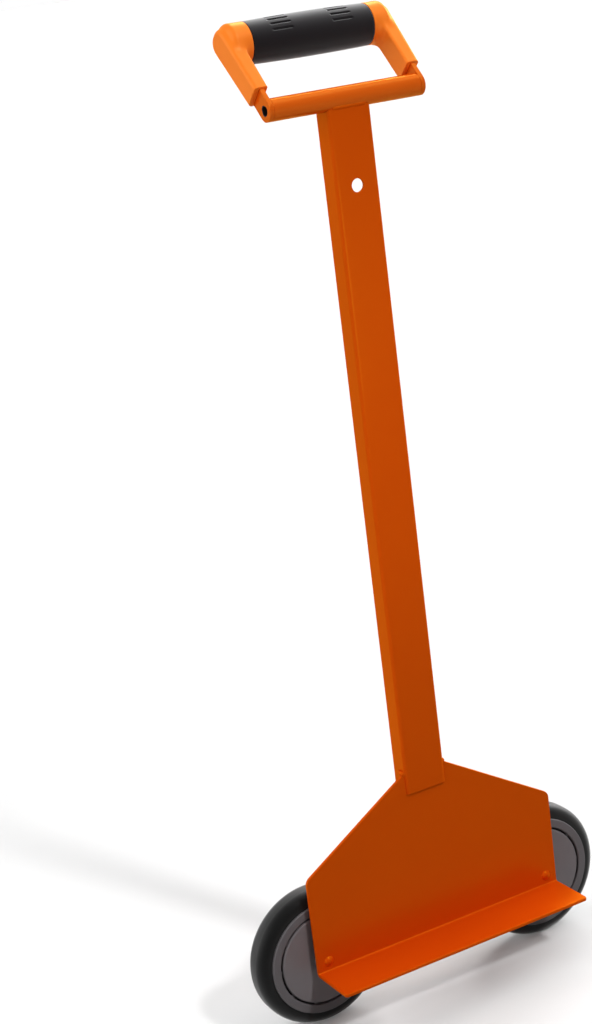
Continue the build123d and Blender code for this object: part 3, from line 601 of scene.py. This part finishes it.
# axles: a riveted head on the plate's front, and behind it a collar, a journal and a thread
axle = dict(
    headRadius=4.5, headHeight=2.4, headSink=0.4, headRows=16, collarRadius=10.0, collar=2.0,
    journalRadius=6.0, journalSetback=0.5, threadRadius=5.0, threadChamfer=1.0, pitch=1.5, threadDepth=0.75,
    threadRows=70, turns=64)
washer = dict(radius=12.0, bore=5.1, edge=0.3, cornerSteps=4, turns=72)
nut = dict(
    flats=17.0, height=8.0, chamfer=0.6, collarRadius=7.25, collarChamfer=0.5, recessRadius=6.55, bore=5.05,
    turns=120)
washerLow, washerHigh = box("rear_washers")
nutLow, nutHigh = box("lock_nuts")
washerGrids, nutGrids = [], []
for joint in frame["joints"]:
    side = joint["child"].split("_")[0]
    axleX, _, axleZ = np.array(joint["pos_m"]) / mm
    axleLine = (axleX, 0, axleZ)

    # riveted head: a spherical cap that is sunk a little into the plate's front
    capRadius = (axle["headRadius"] ** 2 + axle["headHeight"] ** 2) / (2 * axle["headHeight"])
    capAngle = np.linspace(0, math.asin(axle["headRadius"] / capRadius), axle["headRows"])
    capY = capRadius * (1 - np.cos(capAngle)) - axle["headHeight"]
    cap = np.stack([capY, capRadius * np.sin(capAngle)], -1)
    cap = np.concatenate([cap, [(axle["headSink"], axle["headRadius"]), (axle["headSink"], 0)]])
    capGrid = spin(cap, (axleX, plateFront, axleZ), joint["axis"], axle["turns"])
    makePiece(
        f"{side}AxleHead", [(capGrid, True, False)],
        ["powderCoat"], "frame", "orange_paint", f"{side}_stub_axle")

    # behind the plate: collar, journal, and a thread whose radius dips once a pitch along a helix
    collarEnd, journalEnd = plateHigh[1] + axle["collar"], washerLow[1] - axle["journalSetback"]
    threadEnd = box(f"{side}_stub_axle")[1][1]
    threadY = np.linspace(nutLow[1], threadEnd - axle["threadChamfer"], axle["threadRows"])
    shaft = np.concatenate([
        [(plateHigh[1], 0), (plateHigh[1], axle["collarRadius"]), (collarEnd, axle["collarRadius"]),
         (collarEnd, axle["journalRadius"]), (journalEnd, axle["journalRadius"]),
         (journalEnd, axle["threadRadius"])],
        np.stack([threadY, threadY * 0 + axle["threadRadius"]], -1),
        [(threadEnd, axle["threadRadius"] - axle["threadChamfer"]), (threadEnd, 0)]])
    onThread = (shaft[:, 0] >= nutLow[1]) & (shaft[:, 0] < threadEnd)
    phase = (shaft[None, :, 0] / axle["pitch"] - fullTurn(axle["turns"])[:, None] / (2 * np.pi)) % 1
    threadedRadius = shaft[:, 1] - axle["threadDepth"] * (1 - np.abs(2 * phase - 1)) * onThread
    shaftGrid = spin(shaft, axleLine, joint["axis"], axle["turns"], threadedRadius)
    makePiece(
        f"{side}AxleShaft", [(shaftGrid, True, False)],
        ["zincPlate"], "frame", "zinc_steel", f"{side}_stub_axle")

    # washer: a flat ring with rounded edges
    ring = roundCorners([
        (washerLow[1], washer["bore"], washer["edge"]), (washerLow[1], washer["radius"], washer["edge"]),
        (washerHigh[1], washer["radius"], washer["edge"]), (washerHigh[1], washer["bore"], washer["edge"])],
        washer["cornerSteps"])
    washerGrids.append((spin(ring, axleLine, joint["axis"], washer["turns"]), True, True))

    # lock nut: the round profile is cut down to the hexagon, flats / 2 / cos(angle from the nearest flat)
    flatRadius, chamfer, collarChamfer = nut["flats"] / 2, nut["chamfer"], nut["collarChamfer"]
    hexRadius, hexEnd = flatRadius / math.cos(math.pi / 6), nutLow[1] + nut["height"]
    nutBody = np.array([
        (nutLow[1], nut["bore"]), (nutLow[1], hexRadius - 2 * chamfer), (nutLow[1] + chamfer, hexRadius),
        (hexEnd - chamfer, hexRadius), (hexEnd, hexRadius - 2 * chamfer), (hexEnd, nut["collarRadius"]),
        (nutHigh[1] - collarChamfer, nut["collarRadius"]), (nutHigh[1], nut["collarRadius"] - collarChamfer),
        (nutHigh[1], nut["recessRadius"]), (hexEnd, nut["recessRadius"]), (hexEnd, nut["bore"])])
    fromFlat = (fullTurn(nut["turns"])[:, None] + np.pi / 6) % (np.pi / 3) - np.pi / 6
    nutRadius = np.minimum(nutBody[None, :, 1], flatRadius / np.cos(fromFlat))
    nutGrids.append((spin(nutBody, axleLine, joint["axis"], nut["turns"], nutRadius), True, True))
makePiece("rearWashers", washerGrids, ["zincPlate"], "frame", "zinc_steel", "rear_washers")
makePiece("lockNuts", nutGrids, ["zincPlate"], "frame", "zinc_steel", "lock_nuts")
print("axles and fasteners made")

# stage, in metres: a pale floor that runs past the horizon, a white surround, broad lamps and a spot on the
# post. A lamp's level is what it adds to a surface that faces it, where 1 shows a colour as written, and
# the spot's is counted a metre away from it
studio = dict(
    floorSize=60.0, seenFloor="#CECECE", litFloor="#8C8C8C", nearGlow=0.1, farGlow=0.11, glowReach=(0.4, 2.0),
    surround="#FFFFFF", seenSurround=1.0, ambient=0.02,
    keyLamp=dict(place=(0.1, -0.69, 0.52), aim=(0, 0, 0.57), level=0.14, size=0.3, cone=60, fade=1.0),
    lamps={
        "sunLamp": dict(towards=(0.27, -0.82, 0.95), level=0.45, softness=6),
        "frontLamp": dict(towards=(0.2, -0.1, 0.95), level=0.33, softness=50),
        "topLamp": dict(towards=(0.45, 0.58, 0.68), level=0.34, softness=18),
        "rightLamp": dict(towards=(0.86, 0.3, 0.46), level=0.85, softness=45),
        "leftLamp": dict(towards=(-0.98, 0.12, 0.18), level=0.97, softness=70)})


# 1 for rays that a viewer sees, straight, in a reflection or through glass, and 0 for the rest
def seenRays(tree):
    ray = addNode(tree, "ShaderNodeLightPath").outputs
    seen = addNode(tree, "ShaderNodeMath", {
        0: ray["Is Camera Ray"], 1: ray["Is Glossy Ray"]}, operation="MAXIMUM").outputs[0]
    return addNode(tree, "ShaderNodeMath", {
        0: seen, 1: ray["Is Transmission Ray"]}, operation="MAXIMUM").outputs[0]


# hangs a light at a place, turned so that it shines from the towards direction
def addLamp(light, towards, place=(0, 0, 0)):
    lamp = bpy.data.objects.new(light.name, light)
    lamp.location = place
    lamp.rotation_euler = Vector(towards).to_track_quat("Z", "Y").to_euler()
    bpy.context.scene.collection.objects.link(lamp)


floorHalf = studio["floorSize"] / 2
floorCorners = [(x * floorHalf, y * floorHalf, 0) for x, y in ((-1, -1), (1, -1), (1, 1), (-1, 1))]
floorMesh = bpy.data.meshes.new("studioFloor")
floorMesh.from_pydata(floorCorners, [], [(0, 1, 2, 3)])
floor = bpy.data.objects.new("studioFloor", floorMesh)
bpy.context.scene.collection.objects.link(floor)

# studio paper: seen rays find it pale, with a glow that grows with the distance; the rest find it grey
floorMaterial = bpy.data.materials.new("studioPaper")
floorMaterial.use_nodes = True
floorTree = floorMaterial.node_tree
floorTree.nodes.clear()
floorSeen = seenRays(floorTree)
litTone, seenTone = toLinear(studio["litFloor"]), toLinear(studio["seenFloor"])
floorTone = addNode(floorTree, "ShaderNodeMix", {
    0: floorSeen, 6: litTone, 7: seenTone}, data_type="RGBA").outputs[2]
paper = addNode(floorTree, "ShaderNodeBsdfDiffuse", {"Color": floorTone}).outputs[0]
floorPlace = addNode(floorTree, "ShaderNodeTexCoord").outputs["Object"]
away = addNode(floorTree, "ShaderNodeVectorMath", {0: floorPlace}, operation="LENGTH").outputs["Value"]
glow = addNode(floorTree, "ShaderNodeMapRange", {
    "Value": away, "From Min": studio["glowReach"][0], "From Max": studio["glowReach"][1],
    "To Min": studio["nearGlow"], "To Max": studio["farGlow"]}).outputs[0]
seenGlow = addNode(floorTree, "ShaderNodeMath", {0: floorSeen, 1: glow}, operation="MULTIPLY").outputs[0]
paperGlow = addNode(floorTree, "ShaderNodeEmission", {"Strength": seenGlow}).outputs[0]
litPaper = addNode(floorTree, "ShaderNodeAddShader", {0: paper, 1: paperGlow}).outputs[0]
addNode(floorTree, "ShaderNodeOutputMaterial", {"Surface": litPaper})
floorMesh.materials.append(floorMaterial)

# surround: white to seen rays, and a trace of light to the rest
world = bpy.data.worlds.new("studioSurround")
world.use_nodes = True
bpy.context.scene.world = world
worldTree = world.node_tree
worldTree.nodes.clear()
brightness = addNode(worldTree, "ShaderNodeMapRange", {
    "Value": seenRays(worldTree), "To Min": studio["ambient"], "To Max": studio["seenSurround"]}).outputs[0]
surround = addNode(worldTree, "ShaderNodeBackground", {
    "Color": toLinear(studio["surround"]), "Strength": brightness}).outputs[0]
addNode(worldTree, "ShaderNodeOutputWorld", {"Surface": surround})

keyLook = studio["keyLamp"]
keyLight = bpy.data.lights.new("keyLamp", "SPOT")
keyLight.shadow_soft_size = keyLook["size"] / 2
keyLight.spot_size = math.radians(keyLook["cone"])
keyLight.spot_blend = keyLook["fade"]
keyLight.energy = keyLook["level"] * 4 * math.pi ** 2
addLamp(keyLight, Vector(keyLook["place"]) - Vector(keyLook["aim"]), keyLook["place"])
for lampName, lampLook in studio["lamps"].items():
    sunLight = bpy.data.lights.new(lampName, "SUN")
    sunLight.energy = lampLook["level"] * math.pi
    sunLight.angle = math.radians(lampLook["softness"])
    addLamp(sunLight, lampLook["towards"])

# camera where the photograph was taken: angles in degrees, lengths in millimetres, the lens from its focal
# length in pixels of the 592 by 1024 image
photoView = dict(
    focalPixels=2060.7, imageHeight=1024, sensorHeight=36, azimuth=-27.75, elevation=16.11, roll=-7.33,
    distance=1673.0, target=(-91.6, -12.9, 461.9))
azimuth, elevation, roll = (math.radians(photoView[name]) for name in ("azimuth", "elevation", "roll"))
back = Vector((
    math.sin(azimuth) * math.cos(elevation), -math.cos(azimuth) * math.cos(elevation), math.sin(elevation)))
level = Vector((math.cos(azimuth), math.sin(azimuth), 0))
upright = back.cross(level)
right = level * math.cos(roll) + upright * math.sin(roll)
up = upright * math.cos(roll) - level * math.sin(roll)
cameraData = bpy.data.cameras.new("photoCamera")
cameraData.sensor_width = photoView["sensorHeight"]     # fits the longer side, which is the image's height
cameraData.lens = photoView["focalPixels"] * photoView["sensorHeight"] / photoView["imageHeight"]
cameraPlace = (Vector(photoView["target"]) + back * photoView["distance"]) * mm
cameraTurn = Matrix((right, up, back)).transposed().to_4x4()
camera = bpy.data.objects.new("photoCamera", cameraData)
camera.matrix_world = Matrix.Translation(cameraPlace) @ cameraTurn
bpy.context.scene.collection.objects.link(camera)
bpy.context.scene.camera = camera
bpy.context.scene.view_settings.view_transform = "Standard"
print("stage and camera set")

bpy.context.view_layer.update()
